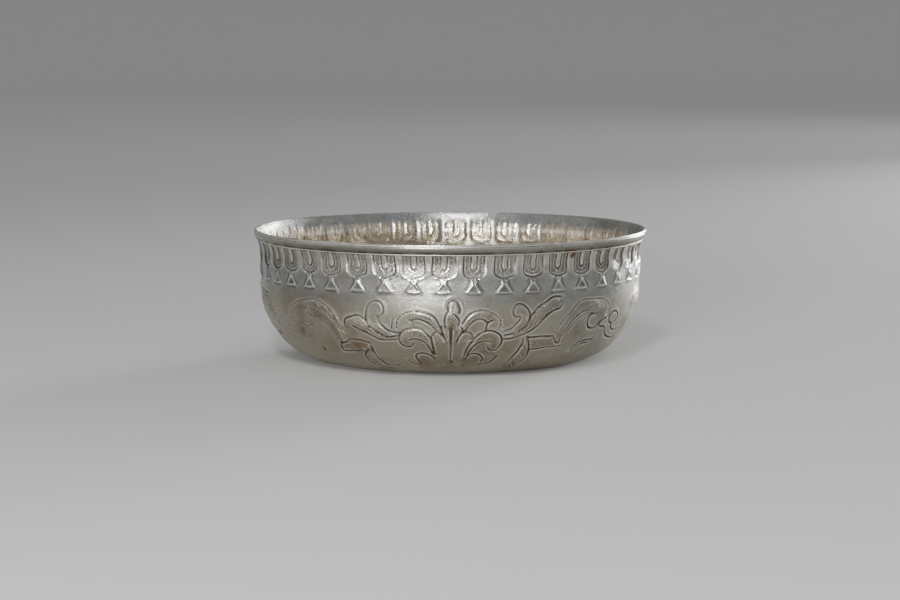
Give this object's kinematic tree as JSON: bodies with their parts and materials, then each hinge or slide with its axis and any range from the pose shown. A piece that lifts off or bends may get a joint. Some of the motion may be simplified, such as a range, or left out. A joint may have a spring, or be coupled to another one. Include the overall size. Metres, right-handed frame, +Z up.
{
  "type": "hammam bowl",
  "caption": "Round shallow silver bath bowl with an upright wall, flared banded lip, chased tongue-and-drop frieze, leaf garland and a raised boss in its base.",
  "frame": {"origin": "centre of the flat seat, on the surface that the bowl stands on", "axes": "+Z up along the bowl's axis; a palmette of the garland faces -Y"},
  "size_m": [0.169, 0.169, 0.0555],
  "materials": {
    "chased_silver": "worn satin silver, dark tarnish in the chased lines",
    "band_silver": "worn satin silver, handled bright on its crown",
    "solder": "dull silver solder"
  },
  "bodies": {
    "root": {"bowl_body": "chased_silver", "rim_band": "band_silver", "rim_solder": "solder"}
  },
  "joints": []
}
